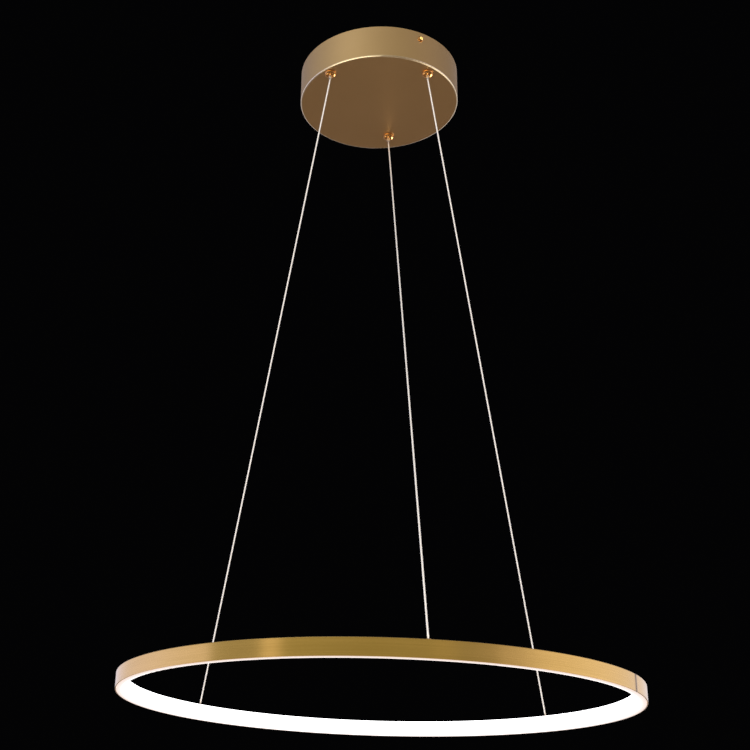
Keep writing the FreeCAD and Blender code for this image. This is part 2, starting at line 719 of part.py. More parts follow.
# ------------------------------------------------------------ cable grips
def make_grip(name, x, y):
    b = body()
    rd, hd = d("grip_dome_radius"), d("grip_dome_height")
    rb, hb = d("grip_barrel_radius"), d("grip_barrel_height")
    bore, c0, c1 = d("grip_bore_radius"), d("grip_cone_low"), d("grip_cone_high")
    z0, z1 = d("grip_cone_foot"), d("grip_cone_top")
    gap = 0.02
    sk = polygon(sketch(b, "XZ_Plane"), [
        (bore, -hd), (rd, -hd), (rd, -gap), (rb, -gap), (rb, hb), (c1, hb),
        (c1, z1), (c0, z0), (bore, z0)])
    revolve(b, sk)
    soften(b, "Fillet", d("grip_dome_round"), ring_edge(VAL["grip_dome_radius"], -VAL["grip_dome_height"]))
    soften(b, "Fillet", 0.3, ring_edge(VAL["grip_dome_radius"], -gap))
    place(b, x=x, y=y, z=UNDER)
    return node(b, "cable_grip_" + name)


def make_plunger(name, x, y):
    b = body()
    r, bore = d("plunger_radius"), d("plunger_bore")
    rc, rf = d("plunger_cage_radius"), d("plunger_flange_radius")
    foot = d("grip_cone_foot") + 0.02
    top, seat = d("plunger_flange_top"), d("plunger_cage_top")
    sk = polygon(sketch(b, "XZ_Plane"), [
        (bore, -d("plunger_nose")), (r, -d("plunger_nose")), (r, foot), (rc, foot),
        (rc, seat), (rf, seat), (rf, top), (bore, top)])
    revolve(b, sk)
    soften(b, "Fillet", 0.45, ring_edge(VAL["plunger_radius"], -VAL["plunger_nose"]))
    sk = circle(sketch(b, "YZ_Plane"), 0, d("ball_height"), d("ball_window"))
    cut = pocket(b, sk, 5.0, reverse=True)
    polar(b, cut, 3)
    place(b, x=x, y=y, z=UNDER)
    return node(b, "release_plunger_" + name)


def make_balls(name, x, y):
    out = []
    for k in range(3):
        s = doc.addObject("Part::Sphere", "Ball")
        bind(s, "Radius", d("ball_radius"))
        ang = "%d deg" % (120 * k)
        s.setExpression("Placement.Base.x", "%s + dims.ball_offset * cos(%s)" % (x.s, ang))
        s.setExpression("Placement.Base.y", "%s + dims.ball_offset * sin(%s)" % (y.s, ang))
        s.setExpression("Placement.Base.z", "%s + dims.ball_height" % UNDER.s)
        out.append(s)
    doc.recompute()
    return group("grip_balls_" + name, out)


def make_spring(name, x, y):
    b = body()
    low, high = d("plunger_flange_top") + 0.3, d("grip_barrel_height") - d("grip_cap_depth") - 0.3
    sk = circle(sketch(b, "XZ_Plane"), d("spring_radius"), low, d("spring_wire"))
    f = b.newObject("PartDesign::AdditiveHelix", "Helix")
    f.Profile = sk
    f.ReferenceAxis = (sk, ["V_Axis"])
    f.Mode = "pitch-height-angle"
    bind(f, "Pitch", d("spring_pitch"))
    bind(f, "Height", high - low)
    finish(b, f)
    place(b, x=x, y=y, z=UNDER)
    return node(b, "grip_spring_" + name)


def make_cap(x, y):
    b = body()
    bore, plug, fl = d("grip_cap_bore"), d("grip_cone_high") - 0.05, d("grip_barrel_radius")
    top, dep, flh = d("grip_barrel_height"), d("grip_cap_depth"), d("grip_cap_flange")
    sk = polygon(sketch(b, "XZ_Plane"), [
        (bore, top - dep), (plug, top - dep), (plug, top + 0.02), (fl, top + 0.02),
        (fl, top + flh), (bore, top + flh)])
    revolve(b, sk)
    soften(b, "Fillet", 0.6, ring_edge(VAL["grip_barrel_radius"],
                                       VAL["grip_barrel_height"] + VAL["grip_cap_flange"]))
    place(b, x=x, y=y, z=UNDER)
    return b


def make_nut(x, y):
    b = body()
    flat = d("grip_nut_flats")
    across = flat / math.sqrt(3.0)
    low = d("canopy_wall") + d("grip_washer_height") + 0.04
    sk = sketch(b, "XY_Plane")
    polygon(sk, [(across, 0), (across / 2, flat / 2), (-across / 2, flat / 2),
                 (-across, 0), (-across / 2, -flat / 2), (across / 2, -flat / 2)])
    circle(sk, 0, 0, d("grip_barrel_radius") + 0.05)
    pad(b, sk, d("grip_nut_height"))
    place(b, x=x, y=y, z=UNDER + low)
    return b


def make_washer(x, y):
    b = body()
    sk = sketch(b, "XY_Plane")
    circle(sk, 0, 0, d("grip_washer_radius"))
    circle(sk, 0, 0, d("grip_barrel_radius") + 0.15)
    pad(b, sk, d("grip_washer_height"))
    place(b, x=x, y=y, z=UNDER + d("canopy_wall") + 0.02)
    return b


caps, nuts, washers = [], [], []
for who, (gx, gy) in GRIPS.items():
    make_grip(who, gx, gy)
    make_plunger(who, gx, gy)
    make_balls(who, gx, gy)
    make_spring(who, gx, gy)
    caps.append(make_cap(gx, gy))
    nuts.append(make_nut(gx, gy))
    washers.append(make_washer(gx, gy))
group("grip_end_caps", caps)
group("grip_lock_nuts", nuts)
group("grip_washers", washers)


# ---------------------------------------------------------------- cables
MOUTH = UNDER - d("plunger_nose")              # where the cables leave the grips
SOCKET_TOP = RING_TOP + d("anchor_height")     # where they enter the ring's sockets


def anchor_xy(who):
    a = math.radians(VAL[ANCHORS[who]])
    r = VAL["anchor_radius_on_ring"]
    return r * math.cos(a), r * math.sin(a)


def make_cable(who):
    gx, gy = GRIPS[who]
    ax, ay = anchor_xy(who)
    top = Vector(gx.v, gy.v, MOUTH.v)
    low = Vector(ax, ay, SOCKET_TOP.v)
    c = doc.addObject("Part::Cylinder", "Cable")
    bind(c, "Radius", d("cable_radius"))
    run = "sqrt((%s - dims.anchor_radius_on_ring * cos(dims.%s * 1 deg))^2 + " \
          "(%s - dims.anchor_radius_on_ring * sin(dims.%s * 1 deg))^2 + (%s)^2)" % (
              gx.s, ANCHORS[who], gy.s, ANCHORS[who], (MOUTH - SOCKET_TOP).s)
    c.Height = (top - low).Length
    c.setExpression("Height", run)
    c.Placement = Placement(low, Rotation(Vector(0, 0, 1), top - low))
    print("   cable %s: length %.1f mm, from %s to %s" % (
        who, (top - low).Length, tuple(round(t, 2) for t in top), tuple(round(t, 2) for t in low)))
    return node(c, "suspension_cable_" + who)


def make_tail(who, heading, run):
    """The cable inside the grip and canopy: up, a bend, a level run."""
    b = body()
    gx, gy = GRIPS[who]
    r = VAL["tail_bend"]
    rise = VAL["plunger_nose"] - 0.5 + VAL["grip_barrel_height"] + VAL["grip_cap_flange"] + 1.5
    prof = circle(sketch(b, "XY_Plane"), 0, 0, d("cable_radius"))
    path = sketch(b, "XZ_Plane")
    path.addGeometry(Part.LineSegment(Vector(0, 0, 0), Vector(0, rise, 0)), False)
    path.addGeometry(Part.ArcOfCircle(Part.Circle(Vector(r, rise, 0), Vector(0, 0, 1), r),
                                      math.pi / 2, math.pi), False)
    path.addGeometry(Part.LineSegment(Vector(r, rise + r, 0), Vector(r + run, rise + r, 0)), False)
    path.addConstraint(Sketcher.Constraint("Coincident", 0, 1, -1, 1))
    path.addConstraint(Sketcher.Constraint("Vertical", 0))
    path.addConstraint(Sketcher.Constraint("Tangent", 0, 2, 1, 2))
    path.addConstraint(Sketcher.Constraint("Tangent", 1, 1, 2, 1))
    path.addConstraint(Sketcher.Constraint("Horizontal", 2))
    for text, con in (
            ("dims.plunger_nose + dims.grip_barrel_height + dims.grip_cap_flange + 1",
             Sketcher.Constraint("DistanceY", 0, 1, 0, 2, rise)),
            ("dims.tail_bend", Sketcher.Constraint("Radius", 1, r)),
            (repr(float(run)), Sketcher.Constraint("DistanceX", 2, 1, 2, 2, float(run)))):
        i = path.addConstraint(con)
        path.setExpression("Constraints[%d]" % i, text)
    doc.recompute()
    f = b.newObject("PartDesign::AdditivePipe", "Pipe")
    f.Profile = prof
    f.Spine = path
    finish(b, f)
    place(b, x=gx, y=gy, z=MOUTH + 0.5, turn=heading)
    node(b, "cable_tail_" + who)
    h = math.radians(heading)
    level = MOUTH.v + 0.5 + rise + r
    reach = r + run
    return Vector(gx.v + reach * math.cos(h), gy.v + reach * math.sin(h), level), Vector(math.cos(h), math.sin(h), 0)


def bar_heading(du, dv):
    """A heading given along and across the bracket, in degrees about Z."""
    return VAL["side_screw_angle"] + math.degrees(math.atan2(dv, du))


for who in GRIPS:
    make_cable(who)

tail_right, dir_right = make_tail("right", bar_heading(0, -1), 4.5)
tail_left, dir_left = make_tail("left", bar_heading(0.47, 0.882), 7.0)
tail_middle, dir_middle = make_tail("middle", bar_heading(0.985, 0.17), 16.0)

SPLICE = 16.0


def make_splice(at, heading, radius, length, blind):
    """A crimped sleeve over the end of a cable; blind for an end stop."""
    b = body()
    if blind:
        pts = [(0, 0), (radius, 0), (radius, length), (0, length)]
    else:
        bore = max(VAL["cable_radius"], VAL["lead_radius"]) + 0.05
        pts = [(bore, 0), (radius, 0), (radius, length), (bore, length)]
    sk = polygon(sketch(b, "XZ_Plane"), pts)
    revolve(b, sk)
    soften(b, "Fillet", 0.4, lambda e: isinstance(e.Curve, Part.Circle)
           and abs(e.Curve.Radius - radius) < 1e-3)
    b.Placement = Placement(at, Rotation(Vector(0, 0, 1), heading))
    return b


s_right = make_splice(tail_right - dir_right * 3.0, dir_right, 2.3, SPLICE, False)
s_left = make_splice(tail_left - dir_left * 3.0, dir_left, 2.3, SPLICE, False)
group("lead_splices", [s_right, s_left])
node(make_splice(tail_middle + dir_middle * 0.05, dir_middle, 2.0, 6.0, True), "cable_end_stop")


# ----------------------------------------------------------------- leads
def bar_points(points):
    return [along_bar(*p) for p in points]


def uv_of(p):
    a = math.radians(VAL["side_screw_angle"])
    return (p.x * math.cos(a) + p.y * math.sin(a), -p.x * math.sin(a) + p.y * math.cos(a), p.z)


rl = VAL["lead_radius"]
ends = VAL["driver_length"] / 2 - 0.4
wire_z = LID_TOP.v - 9.0
tu = VAL["terminal_u"] + VAL["terminal_length"] / 2
# mains leads, terminal block to driver
mains = [tube(bar_points([(tu - 4, v0, wire_z), (tu + 5, v0, wire_z),
                          (tu + 17, v1, z1), (-ends, v1, z1)]), rl)
         for v0, v1, z1 in ((-8.0, -5.0, LEAD_Z1), (0.0, 5.0, LEAD_Z2))]
shape_node("mains_leads", Part.makeCompound(mains))
# output leads, driver to the splices on the right and left cables
ru, rv, rz = uv_of(tail_right + dir_right * (SPLICE - 3.0 - 3.0))
right_lead = tube(bar_points([
    (ru, rv, rz), (ru, rv - 9, rz), (ru - 6, rv - 19, rz - 0.5), (ru - 17, rv - 25, rz - 1.0),
    (ru - 28, rv - 21, rz - 1.5), (ru - 34, rv - 11, LEAD_Z1), (ends + 10, -5, LEAD_Z1),
    (ends, -5, LEAD_Z1)]), rl)
lu, lv, lz = uv_of(tail_left + dir_left * (SPLICE - 3.0 - 3.0))
left_lead = tube(bar_points([
    (lu, lv, lz), (lu + 4.7, lv + 8.8, lz), (lu + 12, lv + 20, lz - 2.5),
    (lu + 17, lv + 33, lz - 6), (69, -22, LEAD_Z2 - 1), (71, -8, LEAD_Z2 - 1.2),
    (66, 2.5, LEAD_Z2 - 0.6), (ends + 6, 5, LEAD_Z2), (ends, 5, LEAD_Z2)]), rl)
shape_node("output_leads", Part.makeCompound([right_lead, left_lead]))
# earth lead, lug and screw
eu, ev = VAL["earth_tab_u"], VAL["earth_hole_v"]
seat = -VAL["bar_thickness"] - 0.05
lug_dir = Vector(-0.55, -0.835, 0)
lug = Part.makeCylinder(4.4, 0.8, Vector(0, 0, -0.8)).cut(Part.makeCylinder(2.1, 0.8, Vector(0, 0, -0.8)))
barrel = Part.makeCylinder(1.9, 6.0, lug_dir * 4.1 + Vector(0, 0, -1.95), lug_dir).cut(
    Part.makeCylinder(1.2, 5.0, lug_dir * 5.5 + Vector(0, 0, -1.95), lug_dir))
barrel = barrel.cut(Part.makeBox(20, 20, 5, Vector(-10, -10, 0)))
lug = lug.fuse(barrel)
spot = Placement(Vector(*along_bar(eu, ev, seat)), Rotation(Vector(0, 0, 1), VAL["side_screw_angle"]))
shape_node("earth_lug", lug, spot)
node(down_screw(eu, ev, seat - 0.85, 2.75, d("pan_head_radius"), d("pan_head_height"), d("mfour_radius")),
     "earth_screw")
start = Vector(eu, ev, seat) + lug_dir * 7.0 + Vector(0, 0, -1.95)
shape_node("earth_lead", tube(bar_points([
    (tu - 4, 8.0, wire_z), (tu + 3.5, 8.0, wire_z),
    tuple(start + lug_dir * 6.5), tuple(start)]), rl))


# ------------------------------------------------------------------ ring
HALVES = {"rear": d("seam_angle"), "front": d("seam_angle") + 180}
GAP_DEG = d("seam_gap") / d("ring_radius") * (180.0 / math.pi)
OPAL_GAP = d("diffuser_gap") / d("ring_radius") * (180.0 / math.pi)


def ring_sector(points, start, span, z=RING_FOOT):
    """A section swept over part of the ring. start and span in degrees."""
    b = body()
    sk = polygon(sketch(b, "XZ_Plane"), points)
    revolve(b, sk, span)
    place(b, z=z, turn=start)
    doc.recompute()
    return b


def make_ring_half(name, start):
    begin, span = start + GAP_DEG / 2, 180.0 - GAP_DEG
    r, t, foot, top = d("ring_radius"), d("channel_wall"), d("channel_foot"), d("ring_height")
    c = d("channel_round")
    lip = d("channel_lip")
    # gold channel: outer wall and top, both top edges eased
    b = ring_sector([
        (r, foot), (r, top - c), (r - c * 0.3, top - c * 0.3), (r - c, top),
        (lip, top), (lip, top - t), (r - t, top - t), (r - t, foot)], begin, span)
    # holes for the cable sockets and the splice screws
    sk = sketch(b, "XY_Plane")
    holes = 0
    for alias in ANCHORS.values():
        rel = (VAL[alias] - start.v) % 360.0
        if 0 < rel < 180:
            circle(sk, Dim(VAL["anchor_radius_on_ring"] * math.cos(math.radians(rel - GAP_DEG.v / 2)),
                           "dims.anchor_radius_on_ring * cos((dims.%s - %s) * 1 deg)" % (alias, begin.s)),
                   Dim(VAL["anchor_radius_on_ring"] * math.sin(math.radians(rel - GAP_DEG.v / 2)),
                       "dims.anchor_radius_on_ring * sin((dims.%s - %s) * 1 deg)" % (alias, begin.s)),
                   d("anchor_stem_radius") + 0.1)
            holes += 1
    for rel in (2.5, 180.0 - GAP_DEG.v - 2.5):
        a = math.radians(rel)
        circle(sk, d("anchor_radius_on_ring") * math.cos(a), d("anchor_radius_on_ring") * math.sin(a), 1.6)
    pocket(b, sk, top + 5, reverse=True)
    node(b, "ring_channel_" + name)
    # opal diffuser: inner wall and floor, with a rib behind the channel wall
    ri, w = d("ring_inner"), d("diffuser_wall")
    fl, edge, r0, rt = d("diffuser_floor"), d("diffuser_edge"), d("diffuser_rib_inner"), d("diffuser_rib_top")
    b = ring_sector([
        (ri, 0), (edge, 0), (edge, rt), (r0, rt), (r0, fl), (ri + w, fl), (ri + w, top), (ri, top)],
        start + OPAL_GAP / 2, 180.0 - OPAL_GAP)
    soften(b, "Fillet", d("diffuser_round"), ring_edge(VAL["ring_inner"], 0.0))
    soften(b, "Fillet", d("diffuser_hollow"),
           ring_edge(VAL["ring_inner"] + VAL["diffuser_wall"], VAL["diffuser_floor"]))
    soften(b, "Fillet", 0.3, ring_edge(VAL["diffuser_edge"], 0.0))
    node(b, "diffuser_" + name)
    # LED strip and its chips
    m = d("strip_margin")
    f0, f1, s0, s1 = d("strip_face"), d("strip_back"), d("strip_low"), d("strip_high")
    b = ring_sector([(f0, s0), (f1, s0), (f1, s1), (f0, s1)], start + m, 180.0 - 2 * m)
    node(b, "led_strip_" + name)
    b = body(compound=True)
    sk = sketch(b, "YZ_Plane")
    sk.AttachmentOffset = Placement(Vector(0, 0, VAL["strip_face"] - VAL["chip_thick"] - 0.08), Rotation())
    mid = (s0 + s1) / 2
    rectangle(sk, -d("chip_size") / 2, mid - d("chip_tall") / 2, d("chip_size") / 2, mid + d("chip_tall") / 2)
    first = pad(b, sk, d("chip_thick"))
    count = int(round((180.0 - 2 * VAL["chip_step"]) / VAL["chip_step"])) + 1
    polar(b, first, count, (count - 1) * VAL["chip_step"])
    place(b, z=RING_FOOT, turn=start + d("chip_step"))
    node(b, "led_chips_" + name)


for who, start in HALVES.items():
    make_ring_half(who, start)

# angled splice plates under the channel's top and behind its wall, across
# both seams, and their screws
plates, plate_screws = [], []
for start in HALVES.values():
    top = d("ring_height") - d("channel_wall") - 0.1
    half = d("splice_span") / 2
    leg0, leg1, low = d("splice_leg_inner"), d("splice_leg_outer"), d("splice_leg_low")
    b = ring_sector([(291.2, top - 1.8), (leg0, top - 1.8), (leg0, low), (leg1, low), (leg1, top),
                     (291.2, top)], start - half, half * 2)
    sk = sketch(b, "XY_Plane")
    for rel in (half.v - 2.5 - GAP_DEG.v / 2, half.v + 2.5 + GAP_DEG.v / 2):
        a = math.radians(rel)
        circle(sk, d("anchor_radius_on_ring") * math.cos(a), d("anchor_radius_on_ring") * math.sin(a), 1.5)
    pocket(b, sk, d("ring_height") + 5, reverse=True)
    plates.append(b)
    for rel in (-2.5, 2.5):
        g = screw(3.6, 2.6, 1.2, 1.45)
        a = math.radians(start.v + rel + (GAP_DEG.v / 2 if rel > 0 else -GAP_DEG.v / 2))
        rr = VAL["anchor_radius_on_ring"]
        g.Placement = Placement(Vector(rr * math.cos(a), rr * math.sin(a), RING_TOP.v + 0.02), Rotation())
        plate_screws.append(g)
group("ring_splice_plates", plates)
group("ring_splice_screws", plate_screws)


# ---------------------------------------------------------- cable sockets
def at_anchor(obj, who, z, turn=True):
    alias = ANCHORS[who]
    obj.setExpression("Placement.Base.x", "dims.anchor_radius_on_ring * cos(dims.%s * 1 deg)" % alias)
    obj.setExpression("Placement.Base.y", "dims.anchor_radius_on_ring * sin(dims.%s * 1 deg)" % alias)
    obj.setExpression("Placement.Base.z", Dim.of(z).s)


sockets, socket_nuts, ferrules, stubs = [], [], [], []
for who in ANCHORS:
    b = body()
    bore, rr, hh = d("anchor_bore"), d("anchor_radius"), d("anchor_height")
    sr, sd = d("anchor_stem_radius"), d("anchor_stem_depth")
    sk = polygon(sketch(b, "XZ_Plane"), [
        (bore, -sd), (sr, -sd), (sr, 0.02), (rr, 0.02), (rr, hh), (bore, hh)])
    revolve(b, sk)
    soften(b, "Fillet", 0.4, ring_edge(VAL["anchor_radius"], VAL["anchor_height"]))
    at_anchor(b, who, RING_TOP)
    sockets.append(b)
    b = body()
    sk = sketch(b, "XY_Plane")
    circle(sk, 0, 0, d("anchor_nut_radius"))
    circle(sk, 0, 0, sr + 0.05)
    pad(b, sk, d("anchor_nut_height"), reverse=True)
    at_anchor(b, who, RING_TOP - d("channel_wall") - 0.03)
    socket_nuts.append(b)
    b = body()
    low = sd + 0.1
    sk = polygon(sketch(b, "XZ_Plane"), [
        (d("cable_radius") + 0.05, -low - d("ferrule_length") + 1), (d("cable_radius") + 0.05, -low),
        (d("ferrule_radius"), -low), (d("ferrule_radius"), -low - d("ferrule_length")),
        (0, -low - d("ferrule_length")), (0, -low - d("ferrule_length") + 1)])
    revolve(b, sk)
    at_anchor(b, who, RING_TOP)
    ferrules.append(b)
    b = body()
    sk = circle(sketch(b, "XY_Plane"), 0, 0, d("cable_radius"))
    pad(b, sk, hh + low + d("ferrule_length") - 1.05 - 0.5, reverse=True)
    at_anchor(b, who, RING_TOP + hh - 0.5)
    stubs.append(b)
doc.recompute()
group("ring_cable_sockets", sockets)
group("ring_socket_nuts", socket_nuts)
group("cable_ferrules", ferrules)
group("cable_ends", stubs)


def polar_point(r, angle, z):
    a = math.radians(angle)
    return (r * math.cos(a), r * math.sin(a), z)


# leads from the ferrules of the two live cables to the strips' solder pads
drops = []
low_z = RING_TOP.v - VAL["anchor_stem_depth"] - 0.1 - VAL["ferrule_length"] - 0.05
for who in ("left", "right"):
    a0 = VAL[ANCHORS[who]]
    pad_z = RING_FOOT.v + VAL["strip_low"] + 0.9
    drops.append(tube([
        polar_point(294.5, a0, low_z), polar_point(294.5, a0, pad_z + 0.8),
        polar_point(294.9, a0 + 0.1, pad_z), polar_point(297.7, a0 + 0.1, pad_z)], 0.45))
shape_node("ring_leads", Part.makeCompound(drops))
# jumpers that carry the feed across the seams
jumpers = []
for start in HALVES.values():
    for z in (7.2, 12.8):
        zz = RING_FOOT.v + z
        jumpers.append(tube([polar_point(297.35, start.v + t, zz) for t in (-4.95, -1.7, 1.7, 4.95)], 0.45))
shape_node("strip_jumpers", Part.makeCompound(jumpers))

doc.recompute()

# ----------------------------------------------------------------- export
bad = []
for obj in doc.Objects:
    if "Invalid" in obj.State or "Error" in obj.State:
        bad.append("%s (%s) is %s" % (obj.Label, obj.TypeId, obj.State))
names = set()
for obj in NODES:
    if obj.Shape.isNull() or not obj.Shape.isValid() or not obj.Shape.Solids:
        bad.append("%s has no valid shape" % obj.Label)
    if obj.Label in names:
        bad.append("%s is used twice" % obj.Label)
    names.add(obj.Label)
if bad:
    raise RuntimeError("; ".join(bad))

os.makedirs("parts", exist_ok=True)
for obj in NODES:
    obj.Shape.exportStep("parts/%s.step" % obj.Label)
print("wrote %d nodes" % len(NODES))
for obj in NODES:
    bb = obj.Shape.BoundBox
    print("  %-28s solids %2d  vol %9.1f mm3  z %.1f..%.1f" % (
        obj.Label, len(obj.Shape.Solids), obj.Shape.Volume, bb.ZMin, bb.ZMax))
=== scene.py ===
import bpy
import json
import math
from mathutils import Matrix, Vector


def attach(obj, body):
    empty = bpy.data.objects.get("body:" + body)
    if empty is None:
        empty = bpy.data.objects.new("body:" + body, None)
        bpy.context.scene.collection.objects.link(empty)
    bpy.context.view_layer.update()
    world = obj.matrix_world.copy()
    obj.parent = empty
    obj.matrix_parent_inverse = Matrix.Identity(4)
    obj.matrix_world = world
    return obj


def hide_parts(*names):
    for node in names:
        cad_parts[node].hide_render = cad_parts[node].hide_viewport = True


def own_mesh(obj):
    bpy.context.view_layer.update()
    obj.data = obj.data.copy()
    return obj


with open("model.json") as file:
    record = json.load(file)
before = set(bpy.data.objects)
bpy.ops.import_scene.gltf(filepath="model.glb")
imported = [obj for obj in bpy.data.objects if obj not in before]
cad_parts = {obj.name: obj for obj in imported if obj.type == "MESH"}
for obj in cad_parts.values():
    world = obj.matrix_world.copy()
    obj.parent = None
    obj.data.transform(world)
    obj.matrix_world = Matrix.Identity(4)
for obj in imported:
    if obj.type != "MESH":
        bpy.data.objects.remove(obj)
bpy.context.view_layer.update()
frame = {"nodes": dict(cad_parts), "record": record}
scene = bpy.context.scene
scene.view_settings.view_transform = "Standard"
scene.view_settings.look = "None"

# ------------------------------------------------------------------ camera
# The picture is cropped off the optical axis, so the lens is shifted sideways.
YAW, PITCH, ROLL = math.radians(-4.23), math.radians(22.89), math.radians(2.45)
forward = Vector((math.sin(YAW) * math.cos(PITCH), math.cos(YAW) * math.cos(PITCH), math.sin(PITCH)))
level = Vector((math.cos(YAW), -math.sin(YAW), 0.0))
raised = level.cross(forward)
right = math.cos(ROLL) * level + math.sin(ROLL) * raised
up = -math.sin(ROLL) * level + math.cos(ROLL) * raised
cam_data = bpy.data.cameras.new("camera")
cam = bpy.data.objects.new("camera", cam_data)
scene.collection.objects.link(cam)
cam_data.sensor_fit = "HORIZONTAL"
cam_data.sensor_width = 36.0
cam_data.lens = 1231.4 / 750.0 * 36.0
cam_data.shift_x = (375.0 - 264.6) / 750.0
cam_data.clip_start, cam_data.clip_end = 0.02, 60.0
turn = Matrix((right, up, -forward)).transposed().to_4x4()
cam.matrix_world = Matrix.Translation((-0.0372, -1.4576, -1.0822)) @ turn
scene.camera = cam

# ------------------------------------------------------- cables, first made
GRIP_MOUTH_Z, SOCKET_Z = -0.0575, -0.8551
CABLE_RUNS = {
    "left": ((-0.0675, -0.0730), (-0.22527, 0.18969)),
    "right": ((0.0637, -0.0730), (0.22226, 0.19321)),
    "middle": ((0.0163, 0.0770), (0.04099, -0.29163)),
}
CABLE_R = 0.00095


def tube_mesh(name, a, b, radius, sides=24, steps=96):
    """A straight round cable from a to b, with its length along V."""
    a, b = Vector(a), Vector(b)
    along = (b - a).normalized()
    e1 = along.orthogonal().normalized()
    e2 = along.cross(e1)
    length = (b - a).length
    verts, faces = [], []
    for i in range(steps + 1):
        c = a.lerp(b, i / steps)
        for k in range(sides):
            t = 2 * math.pi * k / sides
            verts.append(c + radius * (math.cos(t) * e1 + math.sin(t) * e2))
    for i in range(steps):
        for k in range(sides):
            n = (k + 1) % sides
            faces.append((i * sides + k, i * sides + n, (i + 1) * sides + n, (i + 1) * sides + k))
    faces.append(tuple(range(sides - 1, -1, -1)))
    faces.append(tuple(steps * sides + k for k in range(sides)))
    me = bpy.data.meshes.new(name)
    me.from_pydata([tuple(v) for v in verts], [], faces)
    uv = me.uv_layers.new(name="along")
    for p in me.polygons:
        loops = list(p.loop_indices)
        i0 = min(me.loops[q].vertex_index // sides for q in loops)
        for q in loops:
            v = me.loops[q].vertex_index
            i, k = divmod(v, sides)
            u = k / sides
            if len(loops) == 4 and k == 0 and any(me.loops[r].vertex_index % sides == sides - 1 for r in loops):
                u = 1.0
            uv.data[q].uv = (u, i / steps * length / 0.01)
    for p in me.polygons:
        p.use_smooth = len(p.vertices) == 4
    ob = bpy.data.objects.new(name, me)
    scene.collection.objects.link(ob)
    return ob, length


# --------------------------------------------------------------- materials
class Look:
    """A node material: a Principled shader and helpers to feed it."""

    def __init__(self, name):
        self.m = bpy.data.materials.new(name)
        self.m.use_nodes = True
        self.nt = self.m.node_tree
        self.nt.nodes.clear()
        out = self.nt.nodes.new("ShaderNodeOutputMaterial")
        self.p = self.nt.nodes.new("ShaderNodeBsdfPrincipled")
        self.nt.links.new(self.p.outputs["BSDF"], out.inputs["Surface"])
        self._co = None
        self.height = None

    def node(self, kind, **inputs):
        n = self.nt.nodes.new(kind)
        for k, v in inputs.items():
            n.inputs[k.replace("_", " ")].default_value = v
        return n

    def link(self, a, b):
        self.nt.links.new(a, b)

    def const(self, **values):
        for k, v in values.items():
            self.p.inputs[k.replace("_", " ")].default_value = v
        return self

    def place(self):
        if self._co is None:
            self._co = self.node("ShaderNodeTexCoord").outputs["Object"]
        return self._co

    def math(self, op, a, b=None):
        n = self.nt.nodes.new("ShaderNodeMath")
        n.operation = op
        for i, x in enumerate((a, b)):
            if x is None:
                continue
            if isinstance(x, (int, float)):
                n.inputs[i].default_value = x
            else:
                self.link(x, n.inputs[i])
        return n.outputs[0]

    def scaled(self, source, sx, sy, sz):
        n = self.nt.nodes.new("ShaderNodeMapping")
        n.inputs["Scale"].default_value = (sx, sy, sz)
        self.link(source, n.inputs["Vector"])
        return n.outputs["Vector"]

    def noise(self, vector, scale, detail=3.0, rough=0.55):
        n = self.nt.nodes.new("ShaderNodeTexNoise")
        n.inputs["Scale"].default_value = scale
        n.inputs["Detail"].default_value = detail
        n.inputs["Roughness"].default_value = rough
        self.link(vector, n.inputs["Vector"])
        return n.outputs["Fac"]

    def ramp(self, fac, stops, mode="LINEAR"):
        n = self.nt.nodes.new("ShaderNodeValToRGB")
        n.color_ramp.interpolation = mode
        e = n.color_ramp.elements
        while len(e) > 1:
            e.remove(e[-1])
        e[0].position, e[0].color = stops[0][0], (*stops[0][1], 1.0)
        for pos, col in stops[1:]:
            s = e.new(pos)
            s.color = (*col, 1.0)
        self.link(fac, n.inputs["Fac"])
        return n.outputs["Color"]

    def span(self, value, lo, hi, to_lo, to_hi):
        n = self.nt.nodes.new("ShaderNodeMapRange")
        for k, v in (("From Min", lo), ("From Max", hi), ("To Min", to_lo), ("To Max", to_hi)):
            n.inputs[k].default_value = v
        self.link(value, n.inputs["Value"])
        return n.outputs["Result"]

    def base(self, colour):
        self.link(colour, self.p.inputs["Base Color"])
        return self

    def rough(self, value):
        self.link(value, self.p.inputs["Roughness"])
        return self

    def bump(self, height, strength, distance):
        n = self.nt.nodes.new("ShaderNodeBump")
        n.inputs["Strength"].default_value = strength
        n.inputs["Distance"].default_value = distance
        if self.height is not None:
            self.link(self.height, n.inputs["Normal"])
        self.link(height, n.inputs["Height"])
        self.height = n.outputs["Normal"]
        self.link(self.height, self.p.inputs["Normal"])
        return self

    def around(self):
        """Place drawn out along the circle about Z: (x, y, height and radius)."""
        s = self.nt.nodes.new("ShaderNodeSeparateXYZ")
        self.link(self.place(), s.inputs[0])
        x, y, z = s.outputs
        r = self.math("SQRT", self.math("ADD", self.math("MULTIPLY", x, x), self.math("MULTIPLY", y, y)))
        c = self.nt.nodes.new("ShaderNodeCombineXYZ")
        self.link(x, c.inputs[0])
        self.link(y, c.inputs[1])
        self.link(self.math("ADD", z, r), c.inputs[2])
        return c.outputs[0], r, z


def shade(c, k):
    return tuple(min(1.0, x * k) for x in c)


def metal(name, colour, rough, grain=900.0, grain_bump=0.05, mottled=0.06, spread=0.06):
    """Plated or turned metal with a fine grain and a little uneven gloss."""
    k = Look(name)
    k.const(Metallic=1.0)
    broad = k.noise(k.place(), 22.0, 4.0)
    k.base(k.ramp(broad, [(0.30, shade(colour, 1 - mottled)), (0.70, shade(colour, 1 + mottled))]))
    fine = k.noise(k.place(), grain, 2.0)
    k.rough(k.span(k.noise(k.place(), 60.0, 3.0), 0.3, 0.7, rough - spread / 2, rough + spread / 2))
    k.bump(fine, grain_bump, 0.0002)
    return k


